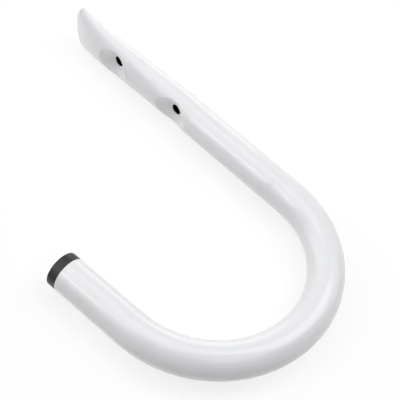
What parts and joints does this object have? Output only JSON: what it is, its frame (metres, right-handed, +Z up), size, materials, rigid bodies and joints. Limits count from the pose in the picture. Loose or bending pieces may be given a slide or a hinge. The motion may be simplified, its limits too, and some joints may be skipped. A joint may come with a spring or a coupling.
{
  "type": "garage wall hook",
  "caption": "J-shaped wall hook of white painted steel tube, its shank pressed flat at the tip with dimpled screw holes, its short leg closed by a black plastic cap.",
  "frame": {"origin": "midway between the two screw holes, on their shared axis plane, where the screw heads bear on the floors of the dimples", "axes": "+X points out from the wall towards the short leg, +Z up along the shank, +Y sideways by the right-hand rule"},
  "size_m": [0.1433, 0.0294, 0.248],
  "materials": {
    "white_paint": "smooth gloss powder coat",
    "black_plastic": "satin moulded"
  },
  "bodies": {
    "root": {"hook_tube": "white_paint", "end_cap": "black_plastic"}
  },
  "joints": []
}
